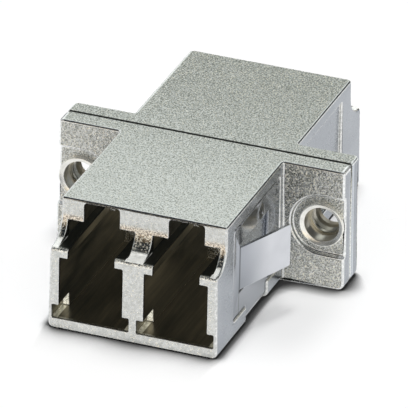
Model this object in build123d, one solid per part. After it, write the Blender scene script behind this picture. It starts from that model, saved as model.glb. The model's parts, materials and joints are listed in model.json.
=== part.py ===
from build123d import *
from math import radians, tan
import os

# Fibre optic coupler: two plated zinc castings held flange to flange, with
# two keyed plug ports on each side and a split sleeve behind each facing
# pair of ports. A spring clip straddles the front casting from below.
#
# Millimetres. X runs across the flange, Y from the front ports to the rear
# ports, Z up. The origin is under the middle of the body, on the seam.

# Body of one casting
port_pitch = 6.25
body_width = 12.5
body_height = 9.2
side_draft = 1.0
face_reach = 14.4
nose_length = 1.95
step_round = 1.6
nose_round = 0.3
ledge_flat = 0.03
round_margin = 0.01
edge_round = 0.4
rear_corner_round = 0.3

# Flange plates
hole_spacing = 18.0
hole_margin = 1.8
hole_height = 4.8
plate_thickness = 1.5
plate_corner_round = 0.5
plate_edge_round = 0.4
seam_chamfer = 0.12

# Port section, from the floor up
floor_thickness = 0.78
key_width = 5.7
key_height = 1.02
channel_width = 4.68
channel_height = 4.72
rail_gap = 3.44
rail_thickness = 0.72
ear_width = 4.95
ear_height = 1.3
slot_width = 2.62
roof_thickness = 0.26
ferrule_height = 3.14

# Depths of the port: from the mouth, or from the seam
key_depth = 2.1
shoulder_length = 2.8
ear_stop = 6.4
slot_stop = 3.2
bulkhead = 1.9

# Split sleeves and the cast tubes that hold them
sleeve_bore = 1.246
sleeve_wall = 0.187
sleeve_length = 6.6
sleeve_slit = 0.3
sleeve_play = 0.06
sleeve_end_play = 0.1
tube_wall = 0.5
tube_lip = 0.5
ferrule_passage = 1.4
lead_in = 0.2

# Flange fixing
ear_recess_radius = 2.25
ear_recess_depth = 0.3
head_radius = 1.64
head_proud = 0.05
head_chamfer = 0.1
shank_radius = 1.5
bush_fit = 0.02
clear_bore_radius = 1.28
clear_bore_depth = 1.2
thread_core_radius = 1.025
thread_lead_in = 0.12

# Recess in each side wall of the castings
recess_setback = 1.4
recess_rear = 2.0
recess_bottom = 1.3
recess_margin = 0.95
recess_depth = 0.4
empty_recess_setback = 2.0
empty_recess_depth = 0.35

# Spring clip
clip_thickness = 0.25
clip_play = 0.06
clip_neck_width = 4.0
clip_bend_round = 0.3
clip_sink = 0.05
leg_corner_round = 0.25
wing_setback = 1.2
wing_length = 5.3
wing_rise = 1.9
wing_height = 3.2
wing_angle = 22.0
lance_gap = 0.3
dimple_radius = 0.75
dimple_depth = 0.12
dimple_setback = 3.9
dimple_drop = 0.9

# What follows from those sizes
half_body = body_width / 2
flange_width = hole_spacing + 2 * hole_margin
half_flange = flange_width / 2
top_reach = face_reach - nose_length
step_fillet = min(step_round, nose_length - nose_round - ledge_flat)
rear_corner_fillet = min(rear_corner_round, nose_round - round_margin)
key_top = floor_thickness + key_height
channel_top = floor_thickness + channel_height
rail_top = channel_top + rail_thickness
ledge_height = rail_top
ear_top = rail_top + ear_height
slot_top = body_height - roof_thickness
sleeve_radius = sleeve_bore / 2 + sleeve_wall
tube_bore_radius = sleeve_radius + sleeve_play
tube_radius = tube_bore_radius + tube_wall
tube_seat = sleeve_length / 2 + sleeve_end_play
tube_reach = tube_seat + tube_lip
recess_front = top_reach - recess_setback
empty_recess_front = top_reach - empty_recess_setback
recess_top = body_height - recess_margin
recess_middle = (recess_front + recess_rear) / 2
recess_floor = half_body - recess_depth
wing_root = recess_front - wing_setback
wing_bottom = recess_bottom + wing_rise
dimple_place = recess_rear + dimple_setback
dimple_height = recess_top - dimple_drop
web_top = clip_sink + clip_thickness
port_centres = (-port_pitch / 2, port_pitch / 2)
hole_centres = (-hole_spacing / 2, hole_spacing / 2)


def block(x_range, y_range, z_range):
    """Box between two values on each axis."""
    ranges = (x_range, y_range, z_range)
    size = [high - low for low, high in ranges]
    corner = [low for low, high in ranges]
    return Pos(*corner) * Box(*size, align=(Align.MIN, Align.MIN, Align.MIN))


def rod(radius, x, z, y_low, y_high):
    """Cylinder along Y between two depths."""
    return Pos(x, y_high, z) * extrude(Plane.XZ * Circle(radius), amount=y_high - y_low)


def drafted(width):
    """Tall prism along Y whose sides lean in towards the top."""
    lean = body_height * tan(radians(side_draft))
    outline = [
        (-width / 2, 0),
        (width / 2, 0),
        (width / 2 - lean, body_height),
        (-width / 2 + lean, body_height),
    ]
    return extrude(Plane.XZ * make_face(Polyline(*outline, close=True)), amount=face_reach + 1, both=True)


def body_blank(corner_radius):
    """Body of one casting with the stepped nose, before its ports are cored."""
    outline = [
        (0, body_height),
        (-top_reach, body_height),
        (-top_reach, ledge_height),
        (-face_reach, ledge_height),
        (-face_reach, 0),
        (0, 0),
    ]
    section = make_face(Polyline(*outline, close=True))
    inner_corner = section.vertices().sort_by_distance((-top_reach, ledge_height, 0))[0]
    section = fillet(inner_corner, step_fillet)
    nose_corner = section.vertices().sort_by_distance((-face_reach, ledge_height, 0))[0]
    section = fillet(nose_corner, nose_round)
    blank = extrude(Plane.YZ * section, amount=half_body, both=True) & drafted(body_width)
    if corner_radius > 0:
        beyond_top = blank.edges().filter_by(lambda edge: edge.bounding_box().max.Y < -top_reach + 0.01)
        blank = fillet(beyond_top.filter_by(Axis.X, reverse=True), corner_radius)
    return fillet(blank.edges().filter_by(Axis.Y).group_by(Axis.Z)[0], edge_round)


def stepped_section(*steps):
    """Port outline as widths stacked from the floor up."""
    right = []
    for width, low, high in steps:
        right += [(width / 2, low), (width / 2, high)]
    left = [(-x, z) for x, z in reversed(right)]
    return make_face(Polyline(*right, *left, close=True))


def core(section, x, from_depth, to_depth):
    """Section of a port driven along Y between two depths in front of the seam."""
    return Pos(x, -to_depth, 0) * extrude(Plane.XZ * section, amount=from_depth - to_depth)


def port_core(x):
    """Everything cored out for one plug: key, channel, rails, latch way."""
    outside = face_reach + 1
    channel = (channel_width, floor_thickness, channel_top)
    gap = (rail_gap, channel_top, rail_top)
    ears = (ear_width, rail_top, ear_top)
    slot = (slot_width, ear_top, slot_top)
    key = (key_width, floor_thickness, key_top)
    above_key = (channel_width, key_top, channel_top)
    mouth = stepped_section(key, above_key, gap, ears, slot)
    latch_way = stepped_section(channel, gap, ears, slot)
    latch_pocket = stepped_section((ear_width, rail_top, slot_top))
    arm_way = stepped_section(channel, (slot_width, channel_top, slot_top))
    plug_way = stepped_section(channel)
    key_end = face_reach - key_depth
    cored = core(mouth, x, outside, key_end)
    cored += core(latch_way, x, key_end, ear_stop)
    cored += core(latch_pocket, x, top_reach - shoulder_length, ear_stop)
    cored += core(arm_way, x, ear_stop, slot_stop)
    cored += core(plug_way, x, slot_stop, bulkhead)
    return cored


def sleeve_tube(x):
    """Half of the tube that holds a split sleeve, standing in the port."""
    return rod(tube_radius, x, ferrule_height, -tube_reach, -bulkhead / 2)


def sleeve_seat(x):
    """Bore for the sleeve, its end stop, and the way in for the ferrule."""
    y_mouth = -tube_reach
    seat = rod(tube_bore_radius, x, ferrule_height, -tube_seat, 1)
    passage = rod(ferrule_passage / 2, x, ferrule_height, y_mouth - 1, 0)
    mouth = Pos(x, y_mouth + lead_in / 2, ferrule_height) * Rot(90, 0, 0) * Cone(
        ferrule_passage / 2, ferrule_passage / 2 + lead_in, lead_in)
    return seat + passage + mouth


def ear_recess(side):
    """Shallow seat round a flange hole, open to the end of the flange."""
    x = side * hole_spacing / 2
    pad = Pos(x, hole_height) * Circle(ear_recess_radius)
    run_out = half_flange + 1 - hole_spacing / 2
    pad += Pos(x + side * run_out / 2, hole_height) * Rectangle(run_out, 2 * ear_recess_radius)
    low = -plate_thickness + ear_recess_depth
    return Pos(0, low, 0) * extrude(Plane.XZ * pad, amount=1)


def side_recess(side, front, depth):
    """Flat recess in one side wall of the body."""
    floor = half_body - depth
    x_range = sorted((side * floor, side * (half_body + 1)))
    return block(x_range, (-front, -recess_rear), (recess_bottom, recess_top))


def clip_way():
    """Channel for the neck of the clip: down both walls and under the body."""
    half = clip_neck_width / 2 + clip_play
    y_range = (-recess_middle - half, -recess_middle + half)
    outer = block((-half_body - 1, half_body + 1), y_range, (-1, recess_bottom + 0.5))
    kept = block((-recess_floor, recess_floor), y_range, (web_top, recess_bottom + 0.5))
    kept = fillet(kept.edges().filter_by(Axis.Y).group_by(Axis.Z)[0], clip_bend_round + clip_play)
    return outer - kept


def plate_blank():
    """Flange plate with rounded lower corners."""
    plate = block((-half_flange, half_flange), (-plate_thickness, 0), (0, body_height))
    plate &= drafted(flange_width)
    return fillet(plate.edges().filter_by(Axis.Y).group_by(Axis.Z)[0], plate_corner_round)


def casting(vertical_rounds, corner_radius, recess_end, depth):
    """One half of the housing, in the place of the front half."""
    body = body_blank(corner_radius)
    plate = plate_blank()
    ends = plate.edges().group_by(Axis.Y)[vertical_rounds].filter_by(Axis.X, reverse=True)
    plate = fillet(ends, plate_edge_round)
    half = body + plate
    seam = half.faces().filter_by(Axis.Y).sort_by(Axis.Y)[-1]
    half = chamfer(seam.edges().filter_by(Axis.X), seam_chamfer)
    for x in port_centres:
        half -= port_core(x)
        half += sleeve_tube(x)
        half -= sleeve_seat(x)
    for side in (-1, 1):
        half -= ear_recess(side)
        half -= rod(shank_radius + bush_fit, side * hole_spacing / 2, hole_height,
                    -plate_thickness - 1, 1)
        half -= side_recess(side, recess_end, depth)
    return half


def front_housing():
    return casting(-1, 0, recess_front, recess_depth) - clip_way()


def rear_housing():
    return Rot(0, 0, 180) * casting(0, rear_corner_fillet, empty_recess_front, empty_recess_depth)


def alignment_sleeve(x):
    """Split ceramic sleeve, slit along its top."""
    half_length = sleeve_length / 2
    sleeve = rod(sleeve_radius, x, ferrule_height, -half_length, half_length)
    sleeve -= rod(sleeve_bore / 2, x, ferrule_height, -half_length - 1, half_length + 1)
    slit = block((x - sleeve_slit / 2, x + sleeve_slit / 2), (-half_length - 1, half_length + 1),
                 (ferrule_height, ferrule_height + 2 * sleeve_radius))
    return sleeve - slit


def flange_bush(x):
    """Turned bush: rolled head, clear bore, threaded core, swaged tail."""
    seat = plate_thickness - ear_recess_depth
    front = seat + ear_recess_depth + head_proud
    step = front - clear_bore_depth
    outline = [
        (clear_bore_radius, -front),
        (head_radius, -front),
        (head_radius, -seat),
        (shank_radius, -seat),
        (shank_radius, seat),
        (head_radius, seat),
        (head_radius, plate_thickness),
        (thread_core_radius, plate_thickness),
        (thread_core_radius, -step),
        (clear_bore_radius, -step),
    ]
    section = make_face(Polyline(*outline, close=True))
    lip = section.vertices().group_by(Axis.Y)[0]
    section = chamfer(lip, head_chamfer)
    thread_mouth = section.vertices().sort_by_distance((thread_core_radius, -step, 0))[0]
    section = chamfer(thread_mouth, thread_lead_in)
    turned = revolve(section, Axis.Y)
    return Pos(x, 0, hole_height) * turned


def clip_leg(side):
    """Leg of the clip on one wall, with its lanced and bent wing."""
    inner = recess_floor
    outer = recess_floor + clip_thickness
    y_low = -recess_front + clip_play
    y_high = -recess_rear - clip_play
    z_low = recess_bottom + clip_play
    z_high = recess_top - clip_play
    leg = block((inner, outer), (y_low, y_high), (z_low, z_high))
    leg = fillet(leg.edges().filter_by(Axis.X), leg_corner_round)
    lance_end = -wing_root + wing_length + lance_gap
    leg -= block((inner - 1, outer + 1), (-wing_root, lance_end),
                 (wing_bottom - lance_gap, wing_bottom + wing_height + lance_gap))
    bulge = dimple_radius**2 / (2 * dimple_depth) + dimple_depth / 2
    leg -= Pos(outer + bulge - dimple_depth, -dimple_place, dimple_height) * Sphere(bulge)
    wing = block((0, clip_thickness), (0, wing_length), (0, wing_height))
    wing = fillet(wing.edges().filter_by(Axis.X).group_by(Axis.Y)[-1], leg_corner_round / 2)
    leg += Pos(inner, -wing_root, wing_bottom) * Rot(0, 0, -wing_angle) * wing
    return leg if side > 0 else mirror(leg, Plane.YZ)


def clip_neck():
    """Strip under the body that joins the two legs."""
    reach = recess_floor
    z_top = recess_bottom + 2 * clip_play + leg_corner_round
    outer = Rectangle(2 * (reach + clip_thickness), z_top - clip_sink, align=(Align.CENTER, Align.MIN))
    outer = fillet(outer.vertices().group_by(Axis.Y)[0], clip_bend_round + clip_thickness)
    inner = Rectangle(2 * reach, z_top - web_top, align=(Align.CENTER, Align.MIN))
    inner = fillet(inner.vertices().group_by(Axis.Y)[0], clip_bend_round)
    strip = Pos(0, clip_sink) * outer - Pos(0, web_top) * inner
    front = recess_middle - clip_neck_width / 2
    return Pos(0, -front, 0) * extrude(Plane.XZ * strip, amount=clip_neck_width)


def panel_clip():
    return clip_neck() + clip_leg(-1) + clip_leg(1)


pieces = {
    "front_housing": front_housing(),
    "rear_housing": rear_housing(),
    "panel_clip": panel_clip(),
    "alignment_sleeve_left": alignment_sleeve(port_centres[0]),
    "alignment_sleeve_right": alignment_sleeve(port_centres[1]),
    "flange_bush_left": flange_bush(hole_centres[0]),
    "flange_bush_right": flange_bush(hole_centres[1]),
}

os.makedirs("parts", exist_ok=True)
for name, piece in pieces.items():
    export_step(piece, f"parts/{name}.step")
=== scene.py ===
# %% [markdown]
# # A die-cast fibre optic coupler
# The real thing is two plated zinc castings, held flange to flange by two threaded bushes. Plugs go in at
# both ends, and a spring clip of thin sheet straddles the front casting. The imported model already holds
# every piece at its real size, so this lesson is about what the eye adds: rounded edges, a gritty plated
# skin, sheet metal, turned threads, and the room that all this metal mirrors. Everything is in metres, in
# the frame of the model.

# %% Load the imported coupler
import json
import math

import bmesh
import bpy
from mathutils import Matrix, Vector


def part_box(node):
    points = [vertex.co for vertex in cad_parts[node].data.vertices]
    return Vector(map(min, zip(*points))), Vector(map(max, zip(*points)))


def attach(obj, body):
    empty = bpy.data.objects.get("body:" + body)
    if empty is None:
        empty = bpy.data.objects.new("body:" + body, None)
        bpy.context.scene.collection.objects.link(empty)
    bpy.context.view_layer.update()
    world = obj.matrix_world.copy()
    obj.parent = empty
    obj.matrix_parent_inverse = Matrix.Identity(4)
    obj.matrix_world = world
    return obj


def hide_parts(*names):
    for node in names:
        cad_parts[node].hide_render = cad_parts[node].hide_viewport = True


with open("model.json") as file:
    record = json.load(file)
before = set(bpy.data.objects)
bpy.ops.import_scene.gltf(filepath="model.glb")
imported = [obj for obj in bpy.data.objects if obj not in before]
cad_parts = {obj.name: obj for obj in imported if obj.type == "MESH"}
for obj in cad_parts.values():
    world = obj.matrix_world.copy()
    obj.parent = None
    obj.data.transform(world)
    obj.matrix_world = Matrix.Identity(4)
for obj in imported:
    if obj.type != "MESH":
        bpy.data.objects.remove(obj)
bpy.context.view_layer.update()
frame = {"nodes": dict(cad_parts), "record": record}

MM = 0.001
print("pieces in the frame:", sorted(frame["nodes"]))

# %% [markdown]
# ## Sizes that the finishes need
# A finish often changes at a place on the object: the mouth of a port, the seam, the ledge of the hollow
# step over the mouth. What a piece's box can tell is read from the frame, so that it follows the model.
# Sizes that no box can tell, such as the pitch of the ports, are written here, as real sizes.

# %% Places on the coupler
housing_low, housing_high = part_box("front_housing")
clip_low, clip_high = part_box("panel_clip")
face_reach = -housing_low.y
body_height = housing_high.z
flange_reach = housing_high.x
body_centre = Vector((0, 0, body_height / 2))
port_pitch = 6.25 * MM
port_half_width = 2.48 * MM
port_floor = 0.7 * MM
pocket_half_width = 2.9 * MM
pocket_height = 2.0 * MM
pocket_end = face_reach - 2.2 * MM
latch_height = 7.5 * MM
ear_half_width = 2.48 * MM
body_half_width = 6.2 * MM
nose_length = 1.95 * MM
top_reach = face_reach - nose_length
ledge_height = 6.22 * MM
brow_height = 7.85 * MM
wing_root = clip_low.y + 1.14 * MM
print("each half reaches", round(face_reach / MM, 2), "mm from the seam,",
      "and the body is", round(body_height / MM, 2), "mm high")

# %% [markdown]
# ## Shader maths as plain arithmetic
# A material is a graph of small nodes, and a formula such as 1 - mask * 0.5 needs two of them. Wiring them
# by hand hides the formula. So one small class wraps a socket: its operators add the Math nodes, and its
# one method `node` adds any other node, with the settings first and the values or links of the sockets
# after. A mask is a number from 0 to 1, and most masks are made of smooth steps: a ramp up, a fall, or a
# window.

# %% A socket that can be added and multiplied
class Wire:
    """An output socket of a node tree, usable in ordinary arithmetic."""

    def __init__(self, tree, socket=None):
        self.tree = tree
        self.socket = socket

    def node(self, kind, settings=None, sockets=None, output=0):
        """Adds a node, sets its settings, feeds its sockets and returns one output."""
        made = self.tree.nodes.new(kind)
        for name, value in (settings or {}).items():
            setattr(made, name, value)
        for name, value in (sockets or {}).items():
            if isinstance(value, Wire):
                self.tree.links.new(value.socket, made.inputs[name])
            else:
                made.inputs[name].default_value = value
        return Wire(self.tree, made.outputs[output] if made.outputs else None)

    def maths(self, operation, *values, clamp=False):
        """A Math node on these values."""
        settings = {"operation": operation, "use_clamp": clamp}
        return self.node("ShaderNodeMath", settings, dict(enumerate(values)))

    def __add__(self, other):
        return self.maths("ADD", self, other)

    def __sub__(self, other):
        return self.maths("SUBTRACT", self, other)

    def __rsub__(self, other):
        return self.maths("SUBTRACT", other, self)

    def __mul__(self, other):
        return self.maths("MULTIPLY", self, other)

    def __truediv__(self, other):
        return self.maths("DIVIDE", self, other)

    __radd__ = __add__
    __rmul__ = __mul__

    def size(self):
        """The value without its sign."""
        return self.maths("ABSOLUTE", self)

    def ramp(self, low, high):
        """0 below low, 1 above high, and a smooth step between them."""
        settings = {"interpolation_type": "SMOOTHSTEP"}
        sockets = {"Value": self, "From Min": low, "From Max": high}
        return self.node("ShaderNodeMapRange", settings, sockets)

    def fall(self, low, high):
        """1 below low, 0 above high, and a smooth step between them."""
        return 1 - self.ramp(low, high)

    def window(self, rise, fall):
        """0, then 1 from the end of the rise to the start of the fall, then 0. Both are pairs of places."""
        return self.ramp(*rise) * self.fall(*fall)

    def tint(self, low_colour, high_colour):
        """A colour between two others, mixed by this value."""
        settings = {"data_type": "RGBA"}
        return self.node("ShaderNodeMix", settings, {0: self, 6: low_colour, 7: high_colour}, output=2)


# %% Colours, and coats of colour
def rgba(red, green, blue):
    """A linear colour with full alpha."""
    return (red, green, blue, 1.0)


def grey(level):
    return rgba(level, level, level)


def coated(colour, coats):
    """Lays coats over a colour, each a mask and the colour that shows where the mask is 1."""
    for mask, coat in coats:
        colour = mask.tint(colour, coat)
    return colour


# %% A material and the wires that every finish starts from
def new_material(name):
    """An empty material, and its Object coordinates as a wire."""
    material = bpy.data.materials.new(name)
    material.use_nodes = True
    tree = material.node_tree
    tree.nodes.clear()
    place = Wire(tree).node("ShaderNodeTexCoord", output="Object")
    return material, place


def axes_of(vector):
    """The three parts of a vector wire."""
    split = vector.node("ShaderNodeSeparateXYZ", None, {0: vector})
    outputs = split.socket.node.outputs
    return [Wire(vector.tree, outputs[i]) for i in range(3)]


def facing_of(place):
    """The three parts of the direction in which the surface faces."""
    return axes_of(place.node("ShaderNodeNewGeometry", output="Normal"))


def finish_surface(material, sockets):
    """Closes a material with one Principled shader fed by these sockets."""
    shader = Wire(material.node_tree).node("ShaderNodeBsdfPrincipled", None, sockets)
    shader.node("ShaderNodeOutputMaterial", None, {"Surface": shader})
    return material


def noise(place, scale, detail, roughness, stretch=(1.0, 1.0, 1.0)):
    """Smooth noise from 0 to 1, with scale in cells per metre along each axis."""
    scaled = place.node("ShaderNodeVectorMath", {"operation": "MULTIPLY"}, {0: place, 1: stretch})
    sockets = {"Vector": scaled, "Scale": scale, "Detail": detail, "Roughness": roughness}
    return place.node("ShaderNodeTexNoise", None, sockets)


def bump(height, distance):
    """A Bump node over a height from 0 to 1, with its depth in metres."""
    return height.node("ShaderNodeBump", None, {"Height": height, "Distance": distance, "Strength": 1.0})


# %% [markdown]
# ## The dark ports
# Inside a port the walls lie in deep shade, which is painted into their colour: a dark brown plate with
# streaks along the way of the die's core, and a darker line along the shelf. Light gets lost between its
# walls after many bounces, which a renderer cuts short, so the walls get a faint glow that stands for the
# rest. The floors and end walls of the key pockets get painted light, a bright sandy colour and glow. The
# mask needs care: a port is wider at its key pockets, and it starts further back under the roof, where the
# nose is stepped.

# %% Where a point lies in the ports
def inside_port(place, facing):
    """1 on the walls inside a port and 0 outside, and the same for the end walls of its key pockets."""
    x, y, z = axes_of(place)
    from_axis = (x.size() - port_pitch / 2).size()
    pocket = y.size().ramp(pocket_end, pocket_end + 0.02 * MM)
    pocket = pocket * z.fall(pocket_height, pocket_height + 0.05 * MM)
    half_width = port_half_width + pocket * (pocket_half_width - port_half_width)
    across = (from_axis - half_width).fall(0.0, 0.02 * MM)
    above_floor = z.ramp(port_floor, port_floor + 0.05 * MM)
    below_roof = z.fall(body_height - 0.2 * MM, body_height - 0.15 * MM)
    upper = z.ramp(ledge_height + 0.03 * MM, ledge_height + 0.08 * MM)
    depth = face_reach - upper * nose_length - y.size()
    inside = across * above_floor * below_roof * depth.ramp(0.12 * MM, 0.35 * MM)
    end_wall = facing[1].size().ramp(0.6, 0.8)
    return inside * (1 - end_wall), inside * pocket * end_wall


def port_walls(place):
    """Painted shade for the walls of a port, a dark colour with a darker line at the shelf, and its glow;
    painted light in its key pockets, a bright floor with a sandy glow.
    """
    x, y, z = axes_of(place)
    streak = noise(place, 3000.0, 2.0, 0.6, (1.0, 0.06, 1.0))
    smoke = noise(place, 420.0, 2.0, 0.5, (1.0, 0.3, 1.0))
    grit = noise(place, 7000.0, 1.0, 0.5)
    # painted light: the floor of each key pocket gets a bright colour and a sandy glow
    lit_key_floor = (x.size() - port_pitch / 2).size().ramp(port_half_width - 0.05 * MM, port_half_width)
    lit_key_floor = lit_key_floor * y.size().ramp(pocket_end, pocket_end + 0.5 * MM)
    lit_key_floor = lit_key_floor * z.fall(port_floor + 0.1 * MM, port_floor + 0.15 * MM)
    shelf_shade = (z - ledge_height).size().fall(0.06 * MM, 0.12 * MM)
    slot = z.ramp(latch_height, latch_height + 0.1 * MM)

    # painted shade: the port walls are coloured dark, and darker still along the shelf
    plate = streak.ramp(0.35, 0.75).tint(rgba(0.15, 0.135, 0.10), rgba(0.27, 0.24, 0.17))
    plate = coated(plate, [(lit_key_floor, rgba(0.62, 0.60, 0.50)), (shelf_shade, rgba(0.05, 0.05, 0.045))])
    lit = (z.ramp(1.5 * MM, 6.5 * MM) * 0.85 + 0.27) * (1 - slot * 0.95) * (1 - shelf_shade)
    sheen = smoke.ramp(0.35, 0.65) * 0.8 + streak.ramp(0.5, 0.8) * 0.3
    amount = sheen * lit + grit.ramp(0.62, 0.75) * 0.2
    glow = amount.tint(rgba(0.004, 0.0045, 0.004), rgba(0.050, 0.042, 0.026))
    sand = grit.ramp(0.35, 0.65).tint(rgba(0.06, 0.058, 0.045), rgba(0.26, 0.25, 0.20))
    return plate, lit_key_floor.tint(glow, sand)


# %% [markdown]
# ## The cast skin
# Zinc comes out of a steel die with the die's own texture, and the plate follows it. On the top and on the
# ends the die was eroded, which leaves a grit of about a tenth of a millimetre that sparkles. The side
# walls slide along the die as the casting is pushed out, so they are smooth and look calmer. Light and
# shade are painted into the skin too: the top is coloured lighter, the side walls darker and bluer, the
# ports dark, and a few places glow. Over the mouth there is a hollow step: its middle mirrors the dark
# ceiling and is painted darker still, its foot is painted light with a bright colour and a glow, a line on
# the nose below it glows as well, and its brow is sandy. The masks for these places come first, each from
# where a point lies and which way it faces, and the skin is then laid in coats, as a painter would.

# %% The hollow step over the mouth
def step_masks(place, facing, side):
    """Its slope, its middle painted dark as a reflection, its foot and the line on the nose below it
    painted as light, and its sandy brow.
    """
    x, y, z = axes_of(place)
    depth, up = y.size(), facing[2]
    over = z - ledge_height
    slope = up.window((0.15, 0.35), (0.88, 0.96)) * (1 - side)
    # painted reflection: the middle of the step is coloured dark, like the dark ceiling it mirrors
    middle = slope * up.window((0.3, 0.5), (0.8, 0.9)) * over.ramp(0.1 * MM, 0.25 * MM)
    # painted light: the foot of the step gets a bright colour and a glow
    painted_bright_foot = up.ramp(0.74, 0.86) * over.window((-0.15 * MM, -0.05 * MM), (0.15 * MM, 0.3 * MM))
    painted_bright_foot = painted_bright_foot * depth.ramp(top_reach, top_reach + 0.05 * MM)
    painted_bright_foot = painted_bright_foot * (x.size() - port_pitch / 2).size().ramp(ear_half_width - 0.02 * MM, ear_half_width)
    # painted light: a thin line on the nose below the step glows
    nose_glow_line = up.window((0.12, 0.2), (0.5, 0.6)) * (1 - side)
    nose_glow_line = nose_glow_line * over.window((-0.4 * MM, -0.35 * MM), (0.0, 0.05 * MM))
    nose_glow_line = nose_glow_line * depth.ramp(face_reach - 0.5 * MM, face_reach - 0.45 * MM)
    brow = (z - brow_height).window((-0.9 * MM, -0.85 * MM), (-0.15 * MM, 0.25 * MM))
    brow = brow * (depth - top_reach).window((-0.3 * MM, -0.25 * MM), (0.3 * MM, 0.35 * MM))
    brow = brow * facing[1].size().ramp(0.6, 0.8)
    return slope, middle, painted_bright_foot, nose_glow_line, brow


# %% The flange and the edge of the clip
def flange_masks(place, facing):
    """Its faces, their part beside the body with painted shade, the groove round its ends with a painted
    glow, and the seam on top.
    """
    x, y, z = axes_of(place)
    depth, up = y.size(), facing[2]
    faces = depth.fall(2.0 * MM, 2.1 * MM) * facing[1].size().ramp(0.8, 0.9)
    shade = z.ramp(3 * MM, 9 * MM) * x.ramp(0.0, MM) * x.fall(body_half_width, flange_reach) * faces
    # painted light: the groove round the flange ends glows
    lit_groove = (x.size() - flange_reach).ramp(-0.45 * MM, -0.4 * MM) * depth.fall(0.4 * MM, 0.45 * MM)
    lit_groove = lit_groove * up.size().fall(0.1, 0.3)
    seam = depth.fall(0.11 * MM, 0.16 * MM) * up.ramp(0.3, 0.5)
    return faces, shade, lit_groove, seam


def clip_shadow_line(place, side):
    """A painted shadow: the thin dark line on the side wall where the spring clip ends."""
    x, y, z = axes_of(place)
    # painted shadow: a thin dark line where the clip ends
    gap = (y - clip_low.y).window((-0.1 * MM, -0.08 * MM), (0.0, 0.02 * MM))
    return gap * z.window((MM, 1.3 * MM), (clip_high.z, clip_high.z + 0.1 * MM)) * side


# %% The plated cast skin
def cast_skin():
    """Gritty on top and at the ends, smooth on the side walls, with painted light and shade: a lighter top,
    darker bluer side walls, dark ports and a few glows.
    """
    material, place = new_material("cast_skin")
    x, y, z = axes_of(place)
    facing = facing_of(place)
    side = facing[0].size().ramp(0.75, 0.92)
    top = facing[2].ramp(0.7, 0.9)
    rearward = y.ramp(-12 * MM, 14 * MM) * top
    # painted shade: a band along the bottom is coloured darker, less on the front and rear faces
    rim = z.fall(0.1 * MM, 0.45 * MM) * (1 - facing[1].size().ramp(0.5, 0.8) * 0.6)
    slope, middle, painted_bright_foot, nose_glow_line, brow = step_masks(place, facing, side)
    flange, shade, lit_groove, seam = flange_masks(place, facing)
    port, pocket_wall = inside_port(place, facing)
    port_shade, dark_glow = port_walls(place)

    grit = noise(place, 9000.0, 2.0, 0.6)
    grain = noise(place, 8500.0, 1.0, 0.5)
    mottle = noise(place, 3800.0, 3.0, 0.6)
    cloud = noise(place, 260.0, 3.0, 0.5)
    spark = grain + slope * 0.14 - middle * 0.05 + flange * 0.05 + shade * 0.04 + rearward * 0.08
    spark = spark.ramp(0.63, 0.71) * (1 - side) * (1 - port)
    speck = (grit - rearward * 0.09 - flange * 0.06).fall(0.32, 0.56)
    speck = speck * (top * 0.93 + flange * 0.62 + shade * 0.3 + 0.07)
    sand = grain.ramp(0.38, 0.6).tint(rgba(0.22, 0.16, 0.10), rgba(1.0, 0.88, 0.72))
    # painted shade: the side walls are coloured darker and bluer than the plate
    shaded_side_wall = cloud.ramp(0.35, 0.65).tint(rgba(0.33, 0.355, 0.39), rgba(0.385, 0.41, 0.445))

    plate = mottle.ramp(0.3, 0.7).tint(rgba(0.56, 0.57, 0.55), rgba(0.73, 0.74, 0.725))
    # painted light: the first coat colours the top faces lighter
    colour = coated(plate, [
        (top * 0.3, rgba(0.84, 0.855, 0.83)), (speck, rgba(0.2, 0.21, 0.18)),
        (shade * 0.1 + middle * 0.75, rgba(0.16, 0.16, 0.15)), (rim * 0.5, rgba(0.16, 0.17, 0.17)),
        (brow * 0.75, sand), (spark, rgba(1.0, 0.97, 0.88)), (painted_bright_foot, rgba(0.95, 0.96, 0.95)),
        (side, shaded_side_wall), (clip_shadow_line(place, side), rgba(0.07, 0.075, 0.085)),
        (port, port_shade), (seam, rgba(0.05, 0.05, 0.045))])

    # painted light: the end walls of the key pockets glow with a sandy pattern
    pocket_wall_glow = grit.ramp(0.35, 0.6).tint(rgba(0.20, 0.19, 0.155), rgba(0.62, 0.60, 0.51))
    foot_glow = mottle.ramp(0.2, 0.6).tint(rgba(0.24, 0.24, 0.22), rgba(0.50, 0.50, 0.48))
    glow = coated(grey(0), [
        (port, dark_glow), (pocket_wall, pocket_wall_glow), (lit_groove, rgba(0.20, 0.21, 0.22)),
        (nose_glow_line * mottle.ramp(0.25, 0.6), rgba(0.30, 0.30, 0.29)), (painted_bright_foot, foot_glow)])

    rough = mottle * 0.12 + top * 0.06 + spark * 0.35 + 0.2
    rough = rough * (1 - port) + port * 0.3 + painted_bright_foot * 0.35
    uneven = (1 - side * 0.93) * (1 + rearward * 1.2 + flange * 0.8) * (1 - port * 0.9)
    height = (grit * 0.6 + mottle * 0.4) * uneven
    return finish_surface(material, {
        "Base Color": colour, "Metallic": 1.0, "Roughness": rough, "Normal": bump(height, 0.06 * MM),
        "Emission Color": glow, "Emission Strength": 1.0})


# %% [markdown]
# ## Edges, sheet, bushes and sleeves
# Handling and tumbling polish the edges of a casting first, so they get a finish of their own: brighter,
# and smooth. The clip is rolled strip, with faint lines along the rolling. The bushes are turned on a
# lathe, which leaves rings round their axis: the distance from that axis, and not the place itself, feeds
# their noise. The sleeves are ground white ceramic.

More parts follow.
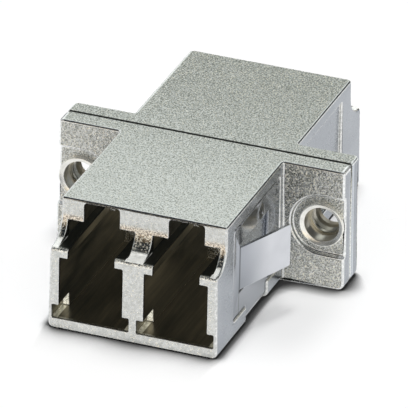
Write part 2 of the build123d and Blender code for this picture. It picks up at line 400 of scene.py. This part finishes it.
# %% The finishes of the other pieces
def polished_edge():
    """Bright worn plate, with the painted shade of the ports where the edge lies in a port, and a painted
    glow round the flange ends.
    """
    material, place = new_material("polished_edge")
    x, y, z = axes_of(place)
    port, pocket_wall = inside_port(place, facing_of(place))
    port_shade, dark_glow = port_walls(place)
    wear = noise(place, 5200.0, 3.0, 0.6)
    bright = wear.ramp(0.35, 0.7).tint(rgba(0.60, 0.61, 0.60), rgba(0.86, 0.86, 0.85))
    # painted light: the edges round the flange ends glow a little
    lit_flange_end = x.size().ramp(flange_reach - 0.5 * MM, flange_reach - 0.45 * MM)
    return finish_surface(material, {
        "Base Color": port.tint(bright, port_shade), "Metallic": 1.0, "Roughness": wear * 0.14 + 0.16,
        "Normal": bump(wear, 0.012 * MM),
        "Emission Color": coated(grey(0), [(lit_flange_end, rgba(0.14, 0.145, 0.15)), (port, dark_glow)]),
        "Emission Strength": 1.0})


def rolled_strip():
    """Spring sheet: the bent wing is coloured light and the flat leg darker, darker still towards the
    bottom, as painted shade, with a painted dark line of shade where the wing folds.
    """
    material, place = new_material("rolled_strip")
    x, y, z = axes_of(place)
    lines = noise(place, 9000.0, 2.0, 0.6, (1.0, 0.04, 1.0))
    haze = noise(place, 350.0, 2.0, 0.5)
    flat = facing_of(place)[0].size().ramp(0.95, 0.985)
    # painted shade: the flat leg is coloured darker than the wing, and a dark line marks the fold
    fold_shade = (y - wing_root).size().fall(0.04 * MM, 0.1 * MM)
    wing = haze.ramp(0.3, 0.7).tint(rgba(0.60, 0.615, 0.65), rgba(0.69, 0.705, 0.74))
    shaded_leg = z.ramp(3 * MM, 6 * MM).tint(rgba(0.27, 0.29, 0.32), rgba(0.37, 0.39, 0.43))
    return finish_surface(material, {
        "Base Color": coated(wing, [(flat, shaded_leg), (fold_shade * 0.8, rgba(0.10, 0.11, 0.12))]),
        "Metallic": 1.0, "Roughness": lines * 0.06 + haze * 0.04 + 0.08, "Normal": bump(lines, 0.002 * MM)})


rings_per_metre = 16000.0


def turned_plate():
    """Plated bush: a bright head with a little painted glow, a darker bore and a bright shoulder in it."""
    material, place = new_material("turned_plate")
    x, y, z = axes_of(place)
    low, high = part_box("flange_bush_right")
    centre = (low + high) / 2
    across = x.size() - centre.x
    up = z - centre.z
    squared = across * across + up * up
    radius = squared.maths("SQRT", squared)
    sockets = {"W": radius * rings_per_metre, "Detail": 2.0}
    rings = radius.node("ShaderNodeTexNoise", {"noise_dimensions": "1D"}, sockets)
    haze = noise(place, 1800.0, 2.0, 0.5)
    bore = radius.fall(1.26 * MM, 1.32 * MM)
    shoulder = bore * facing_of(place)[1].size().ramp(0.6, 0.8)
    head = haze.ramp(0.3, 0.7).tint(rgba(0.66, 0.65, 0.62), rgba(0.80, 0.79, 0.75))
    return finish_surface(material, {
        "Base Color": coated(head, [(bore, rgba(0.46, 0.44, 0.38)), (shoulder, rgba(0.86, 0.82, 0.72))]),
        "Metallic": 1.0, "Roughness": haze * 0.1 + bore * 0.14 + 0.14, "Normal": bump(rings, 0.002 * MM),
        # painted light: the head outside the bore glows a little
        "Emission Color": bore.tint(rgba(0.13, 0.13, 0.12), grey(0)), "Emission Strength": 1.0})


def ground_ceramic():
    """Smooth off-white ceramic with hardly any pattern."""
    material, place = new_material("ground_ceramic")
    haze = noise(place, 2500.0, 2.0, 0.5)
    colour = haze.ramp(0.3, 0.7).tint(rgba(0.82, 0.81, 0.77), rgba(0.88, 0.87, 0.84))
    return finish_surface(material, {
        "Base Color": colour, "Roughness": haze * 0.12 + 0.22, "Normal": bump(haze, 0.002 * MM)})


skin = cast_skin()
edge = polished_edge()
strip = rolled_strip()
turned = turned_plate()
ceramic = ground_ceramic()
print("finishes:", [m.name for m in bpy.data.materials])

# %% [markdown]
# ## Rounded edges
# A CAD edge is perfectly sharp, and a sharp edge mirrors nothing. The real edges are rounded by a tenth of
# a millimetre or two, and that narrow band catches a bright or a dark line, which draws the whole shape.
# The CAD mesh is loose triangles, so a copy is merged first, its flat faces are joined again, and each
# edge sharper than the facets of the curves gets a bevel weight, a full one on the outer edges and a
# smaller one round the ports. At the seam the castings carry a chamfer already, so the edges there get
# none. The band gets the second material, the polished edge.

# %% A copy of a CAD piece with rounded edges
weld_distance = 0.0005 * MM
flat_angle = math.radians(0.4)
sharp_angle = math.radians(32)
seam_margin = 0.3 * MM
outer_reach = 6.0 * MM
inner_weight = 0.4
casting_round = 0.15 * MM
sheet_round = 0.035 * MM
sleeve_round = 0.03 * MM


def merged_copy(node):
    """The mesh of a CAD piece as closed surfaces with whole flat faces."""
    mesh = frame["nodes"][node].data.copy()
    form = bmesh.new()
    form.from_mesh(mesh)
    bmesh.ops.remove_doubles(form, verts=form.verts, dist=weld_distance)
    bmesh.ops.dissolve_degenerate(form, edges=form.edges, dist=weld_distance)
    bmesh.ops.dissolve_limit(form, angle_limit=flat_angle, verts=form.verts, edges=form.edges)
    for face in form.faces:
        face.smooth = True
    weights = form.edges.layers.float.new("bevel_weight_edge")
    for line in form.edges:
        middle = (line.verts[0].co + line.verts[1].co) / 2
        sharp = len(line.link_faces) == 2 and line.calc_face_angle() > sharp_angle
        outer = abs(middle.x) > outer_reach or middle.z > body_height - seam_margin
        weight = 1.0 if outer else inner_weight
        line[weights] = weight if sharp and abs(middle.y) > seam_margin else 0.0
    form.to_mesh(mesh)
    form.free()
    return mesh


def plain_mesh(shape, name):
    """The evaluated mesh of an object, as a new object without modifiers."""
    graph = bpy.context.evaluated_depsgraph_get()
    mesh = bpy.data.meshes.new_from_object(shape.evaluated_get(graph))
    bpy.data.objects.remove(shape)
    mesh.name = name
    piece = bpy.data.objects.new(name, mesh)
    bpy.context.scene.collection.objects.link(piece)
    return piece


def rounded(node, name, width, materials):
    """Stands for a CAD piece with a copy whose sharp edges are rounded."""
    mesh = merged_copy(node)
    mesh.materials.clear()
    for material in materials:
        mesh.materials.append(material)
    for polygon in mesh.polygons:
        polygon.material_index = 0
    shape = bpy.data.objects.new(name + "_blank", mesh)
    bpy.context.scene.collection.objects.link(shape)
    bevel = shape.modifiers.new("round", "BEVEL")
    bevel.width = width
    bevel.segments = 2
    bevel.limit_method = "WEIGHT"
    bevel.use_clamp_overlap = False
    bevel.miter_outer = "MITER_ARC"
    bevel.material = len(materials) - 1
    weighted = shape.modifiers.new("flat faces stay flat", "WEIGHTED_NORMAL")
    weighted.weight = 60
    piece = plain_mesh(shape, name)
    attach(piece, "root")
    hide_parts(node)
    print(name, "has", len(piece.data.polygons), "faces")


rounded("front_housing", "front_casting", casting_round, [skin, edge])
rounded("rear_housing", "rear_casting", casting_round, [skin, edge])
rounded("panel_clip", "spring_clip", sheet_round, [strip])
for hand in ("left", "right"):
    rounded("alignment_sleeve_" + hand, "split_sleeve_" + hand, sleeve_round, [ceramic])

# %% [markdown]
# ## The threaded bushes
# Each bush is turned: a rolled head with a soft lip, a clear bore, and a threaded core. Turning is a
# profile swept round an axis, so its mesh is rings of points. The thread is a ridge that climbs round the
# bore, which is what Geometry Nodes are good at: a spiral curve carries a small triangle, and the turns
# come from a number.

# %% The profile of a bush
bush_low, bush_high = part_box("flange_bush_right")
head_radius = (bush_high.x - bush_low.x) / 2
front_face, back_face = bush_low.y, bush_high.y
head_sink = 0.03 * MM
dish = 0.12 * MM
clear_radius = 1.28 * MM
clear_depth = 1.2 * MM
core_radius = frame["record"]["mounts"][0]["dims"]["hole_r_mm"] * MM
thread_depth = 0.21 * MM
thread_pitch = 0.45 * MM
thread_inset = 0.1 * MM
shank_radius = 1.5 * MM
seat = 1.2 * MM
lip = 0.07 * MM
edge_cut = 0.05 * MM
crease_angle = math.radians(35)


def quarter_round(centre, radius, first, last, steps=5):
    """Points of an arc in the plane of the profile, angles in degrees."""
    points = []
    for i in range(steps + 1):
        angle = math.radians(first + (last - first) * i / steps)
        points.append((centre[0] + radius * math.cos(angle), centre[1] + radius * math.sin(angle)))
    return points


def bush_profile():
    """Radius and depth of each corner, from the clear bore round the outside and back."""
    root = core_radius + thread_depth
    step = front_face + clear_depth
    rim = front_face + head_sink + lip
    profile = quarter_round((clear_radius + lip, rim + dish), lip, 180, 270)
    profile += quarter_round((head_radius - lip, rim), lip, 270, 360)
    profile += [(head_radius, -seat), (shank_radius, -seat), (shank_radius, seat), (head_radius, seat)]
    profile += [(head_radius, back_face - edge_cut), (head_radius - edge_cut, back_face)]
    profile += [(root + edge_cut, back_face), (root, back_face - edge_cut)]
    profile += [(root, step + 0.1 * MM), (root + 0.04 * MM, step), (clear_radius, step)]
    return profile


# %% A turned mesh from a profile
def turned_mesh(name, profile, centre, steps=72):
    """A closed ring of quads, the profile swept round a line along Y."""
    form = bmesh.new()
    rings = []
    for i in range(steps):
        angle = 2 * math.pi * i / steps
        aside, up = math.cos(angle), math.sin(angle)
        corners = [(centre.x + radius * aside, depth, centre.z + radius * up) for radius, depth in profile]
        rings.append([form.verts.new(corner) for corner in corners])
    count = len(profile)
    for i in range(steps):
        this, following = rings[i], rings[(i + 1) % steps]
        for j in range(count):
            k = (j + 1) % count
            form.faces.new((this[j], this[k], following[k], following[j]))
    bmesh.ops.recalc_face_normals(form, faces=form.faces)
    for face in form.faces:
        face.smooth = True
    mesh = bpy.data.meshes.new(name)
    form.to_mesh(mesh)
    form.free()
    return mesh


# %% The thread as a Geometry Nodes tree
def thread_tree():
    """Spiral ridge along Z with named sizes, made once and used for both bushes."""
    tree = bpy.data.node_groups.new("thread", "GeometryNodeTree")
    face = tree.interface
    face.new_socket("Geometry", in_out="INPUT", socket_type="NodeSocketGeometry")
    for title in ("Root radius", "Depth", "Pitch", "Length"):
        face.new_socket(title, in_out="INPUT", socket_type="NodeSocketFloat")
    face.new_socket("Finish", in_out="INPUT", socket_type="NodeSocketMaterial")
    face.new_socket("Geometry", in_out="OUTPUT", socket_type="NodeSocketGeometry")
    inputs = tree.nodes.new("NodeGroupInput")
    sizes = {socket.name: Wire(tree, socket) for socket in inputs.outputs if socket.name}
    start = Wire(tree)
    turns = sizes["Length"] / sizes["Pitch"]
    spiral = start.node("GeometryNodeCurveSpiral", None, {
        "Resolution": 36, "Rotations": turns, "Start Radius": sizes["Root radius"],
        "End Radius": sizes["Root radius"], "Height": sizes["Length"]})
    triangle = start.node("GeometryNodeCurvePrimitiveCircle", {"mode": "RADIUS"}, {
        "Resolution": 3, "Radius": sizes["Depth"]})
    ridge = start.node("GeometryNodeCurveToMesh", None, {
        "Curve": spiral, "Profile Curve": triangle, "Fill Caps": True})
    real = start.node("GeometryNodeRealizeInstances", None, {"Geometry": ridge})
    dressed = start.node("GeometryNodeSetMaterial", None, {"Geometry": real, "Material": sizes["Finish"]})
    start.node("NodeGroupOutput", None, {"Geometry": dressed})
    return tree


def set_inputs(modifier, values):
    """Sets the named inputs of a Geometry Nodes modifier by their identifiers."""
    for item in modifier.node_group.interface.items_tree:
        if item.in_out == "INPUT" and item.name in values:
            modifier[item.identifier] = values[item.name]


thread = thread_tree()


def threaded_bush(node, name):
    """A turned bush with its thread, in place of the plain one."""
    low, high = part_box(node)
    centre = (low + high) / 2
    blank = bpy.data.objects.new(name + "_thread", bpy.data.meshes.new(name + "_thread"))
    bpy.context.scene.collection.objects.link(blank)
    modifier = blank.modifiers.new("thread", "NODES")
    modifier.node_group = thread
    length = back_face - front_face - clear_depth - 2 * thread_inset
    set_inputs(modifier, {
        "Root radius": core_radius + thread_depth, "Depth": thread_depth, "Pitch": thread_pitch,
        "Length": length, "Finish": turned})
    ridge = plain_mesh(blank, name + "_ridge")
    start = Matrix.Translation((centre.x, back_face - thread_inset, centre.z))
    ridge.data.transform(start @ Matrix.Rotation(math.radians(90), 4, "X"))
    mesh = turned_mesh(name, bush_profile(), centre)
    form = bmesh.new()
    form.from_mesh(mesh)
    form.from_mesh(ridge.data)
    form.to_mesh(mesh)
    form.free()
    bpy.data.objects.remove(ridge)
    mesh.materials.clear()
    mesh.materials.append(turned)
    for polygon in mesh.polygons:
        polygon.material_index = 0
    piece = bpy.data.objects.new(name, mesh)
    bpy.context.scene.collection.objects.link(piece)
    mesh.set_sharp_from_angle(angle=crease_angle)
    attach(piece, "root")
    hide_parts(node)
    print(name, "has", len(mesh.polygons), "faces")


for hand in ("left", "right"):
    threaded_bush("flange_bush_" + hand, "threaded_bush_" + hand)

# %% [markdown]
# ## The table
# The coupler stands on a white table that has no visible end. A table that is lit until it is white would
# also flood the metal, so the lamp stays at a plain level. The surface is a pale diffuse one, and what it
# still lacks to white is a small glow that only the camera and glass see. A mirror sees a plainer table, a
# grey one with a stronger glow. Right beside the coupler the table must turn dark. The Ambient Occlusion
# node measures how much of the sky a point of the table sees within a few millimetres, and that paints a
# soft rim of shadow. Its reach is shorter at the ends and at the rear, where the rim is narrow in the
# picture, and a faint pool of shade is painted in the corner between body and flange.

# %% How clear of the coupler a point of the table is
shadow_reach = 4.2 * MM


def open_sky(place):
    """0 where the table is hidden by the coupler, 1 where it is clear of it, less a painted pool of shade
    in the corner between body and flange.
    """
    x, y, z = axes_of(place)
    right = x.ramp(6.0 * MM, 6.6 * MM)
    left = x.fall(-6.6 * MM, -6.0 * MM)
    corner = right * x.fall(10.0 * MM, 10.8 * MM) * y.fall(-4.0 * MM, -2.5 * MM)
    reach = (1 - right * 0.6 - corner * 0.2) * (1 - left * 0.81) * shadow_reach
    reach = reach * (1 - left * y.ramp(-7.0 * MM, -4.0 * MM) * 0.9)
    reach = reach * (1 - y.ramp(-1.0 * MM, 2.5 * MM) * 0.95)
    sky = place.node("ShaderNodeAmbientOcclusion", {"samples": 24}, {"Distance": reach}, output="AO")
    clear = sky.maths("MULTIPLY_ADD", sky, 1.9 + left * 0.6, left * -0.6 - 0.86, clamp=True)
    hidden = 1 - clear
    clear = clear - hidden * hidden * clear * 0.9
    # painted shade: a faint pool in the corner between body and flange
    painted_shade_pool = (x - 8.5 * MM).size().fall(MM, 5 * MM) * (y + 7 * MM).size().fall(MM, 8 * MM)
    return clear * (1 - painted_shade_pool * 0.16)


# %% The rays that see a surface in different ways
def ray_kinds(tree):
    """1 for a ray of the camera, of a mirror and of glass, each as a wire."""
    path = tree.nodes.new("ShaderNodeLightPath")
    kinds = ("Is Camera Ray", "Is Glossy Ray", "Is Transmission Ray")
    return [Wire(tree, path.outputs[kind]) for kind in kinds]


# %% A white table that keeps its shadow
paper_glow = 0.08
mirrored_glow = 0.36
shaded_paper, clear_paper, mirrored_paper = grey(0.065), grey(0.92), grey(0.6)


def white_table():
    """Pale paper with a soft painted shadow wherever the coupler stands close over it."""
    material, place = new_material("white_table")
    clear = open_sky(place)
    camera, mirror, glass = ray_kinds(material.node_tree)
    strength = (camera + glass) * clear * paper_glow + mirror * mirrored_glow
    glow = place.node("ShaderNodeEmission", None, {"Color": grey(1), "Strength": strength})
    paint = mirror.tint(clear.tint(shaded_paper, clear_paper), mirrored_paper)
    paper = place.node("ShaderNodeBsdfDiffuse", None, {"Color": paint})
    both = place.node("ShaderNodeAddShader", None, {0: glow, 1: paper})
    both.node("ShaderNodeOutputMaterial", None, {"Surface": both})
    return material


table_size = 6.0
table_drop = 0.02 * MM
bpy.ops.mesh.primitive_plane_add(size=table_size, location=(0, 0, -table_drop))
table = bpy.context.object
table.name = "table"
table.data.materials.append(white_table())

# %% [markdown]
# ## The room that the metal mirrors
# Metal has hardly a colour of its own: it shows the room. A plain white world would make it flat, and
# every rounded edge would vanish. So the world has three faces. The camera sees it white. Lighting takes
# an even grey from it. A mirror sees bright panels all round above the horizon, a dark ceiling over them
# with a dim patch straight above, and a few places of its own: a bright one behind the coupler, which its
# top mirrors in the picture, another on the right, and two dark ones, over the front and at the rear
# right, that draw the thin dark lines along the edges. A warm strip lies low in front.

# %% A white world with a few darker places
def mirror_zone(direction, heading, inner, outer):
    """1 within the inner angle of a direction, 0 outside the outer one, in degrees."""
    aim = Vector(heading).normalized()
    across = direction.node("ShaderNodeVectorMath", {"operation": "DOT_PRODUCT"},
                            {0: direction, 1: aim}, output="Value")
    return across.ramp(math.cos(math.radians(outer)), math.cos(math.radians(inner)))


horizon_tone = rgba(0.95, 0.97, 0.97)
ceiling_tone = rgba(0.022, 0.026, 0.034)
panel_tone = rgba(0.86, 0.89, 0.88)
overhead_tone = rgba(0.30, 0.31, 0.31)
warm_tone = rgba(1.3, 1.1, 0.8)
lighting_tone = grey(0.36)
zones = [
    ((-0.30, -0.80, 0.52), 30, 40, ceiling_tone),
    ((-0.31, 0.83, 0.46), 20, 42, rgba(1.06, 1.11, 1.08)),
    ((0.43, 0.85, 0.30), 20, 30, rgba(0.03, 0.035, 0.04)),
    ((0.91, -0.03, 0.40), 12, 24, rgba(1.3, 1.3, 1.25)),
]


def studio_world():
    """White for the camera, grey for lighting, and a room with panels for mirrors."""
    world = bpy.data.worlds.new("studio")
    bpy.context.scene.world = world
    world.use_nodes = True
    tree = world.node_tree
    tree.nodes.clear()
    direction = Wire(tree).node("ShaderNodeTexCoord", output="Generated")
    across, along, height = axes_of(direction)
    room = height.ramp(0.0, 0.12).tint(horizon_tone, ceiling_tone)
    panels = height.window((0.04, 0.12), (0.66, 0.84))
    coats = [(panels, panel_tone), (height.ramp(0.96, 0.985), overhead_tone)]
    for heading, inner, outer, tone in zones:
        coats.append((mirror_zone(direction, heading, inner, outer), tone))
    low_strip = height.window((-0.05, 0.02), (0.10, 0.22)) * along.fall(-0.6, -0.3)
    coats.append((low_strip, warm_tone))
    camera, mirror, glass = ray_kinds(tree)
    plain = (camera + glass).ramp(0.0, 1.0).tint(lighting_tone, grey(1))
    shown = mirror.tint(plain, coated(room, coats))
    surface = direction.node("ShaderNodeBackground", None, {"Color": shown, "Strength": 1.0})
    surface.node("ShaderNodeOutputWorld", None, {"Surface": surface})
    print("the room has", len(zones), "places of its own")


studio_world()

# %% [markdown]
# ## The lamp
# One broad sun lights the table and lays the soft shadow. It shines almost straight down and is 20 degrees
# wide, so that the shadow fades within a few millimetres. Mirrors don't see it, because the panels of the
# room do that work.

# %% A soft lamp overhead
def overhead_lamp(travel, strength, spread):
    """A broad sun that shines along a direction and doesn't show in the metal."""
    lamp = bpy.data.lights.new("overhead", "SUN")
    lamp.energy = strength
    lamp.angle = math.radians(spread)
    shape = bpy.data.objects.new("overhead", lamp)
    shape.rotation_mode = "QUATERNION"
    shape.rotation_quaternion = Vector(travel).to_track_quat("-Z", "Y")
    shape.visible_glossy = False
    bpy.context.scene.collection.objects.link(shape)


overhead_lamp((0.01, -0.05, -1.0), strength=2.14, spread=20)

# %% [markdown]
# ## The camera
# The picture was taken from a long way off with a long lens, so parallel edges stay almost parallel. The
# angles and the distance come from fitting the corners of the model to the picture. The camera's axes are
# worked out from the three angles, and it stands back from the middle of the body along its own axis.

# %% The camera at the angle of the picture
azimuth, elevation, roll = math.radians(20.299), math.radians(27.244), math.radians(1.357)
distance = 599.7 * MM
slide_right, slide_up = -0.2586 * MM, -0.5789 * MM
focal_pixels, picture_side, sensor = 8564.7, 408, 36.0


def camera_axes():
    """Right, up and back of the camera, with its small roll."""
    back = Vector((math.sin(azimuth) * math.cos(elevation),
                   -math.cos(azimuth) * math.cos(elevation), math.sin(elevation)))
    level = Vector((0, 0, 1)).cross(back).normalized()
    upright = back.cross(level)
    right = math.cos(roll) * level + math.sin(roll) * upright
    up = math.cos(roll) * upright - math.sin(roll) * level
    return right, up, back


right, up, back = camera_axes()
lens = bpy.data.cameras.new("camera")
lens.sensor_width = sensor
lens.lens = focal_pixels * sensor / picture_side
lens.clip_start = 0.01
camera = bpy.data.objects.new("camera", lens)
bpy.context.scene.collection.objects.link(camera)
station = body_centre + back * distance + right * slide_right + up * slide_up
camera.matrix_world = Matrix.Translation(station) @ Matrix((right, up, back)).transposed().to_4x4()
bpy.context.scene.camera = camera
print("lens", round(lens.lens, 1), "mm at", round(distance, 3), "m")

# %% [markdown]
# ## Colour
# The plain Standard view shows each colour as it was written.

# %% The view transform
bpy.context.scene.view_settings.view_transform = "Standard"
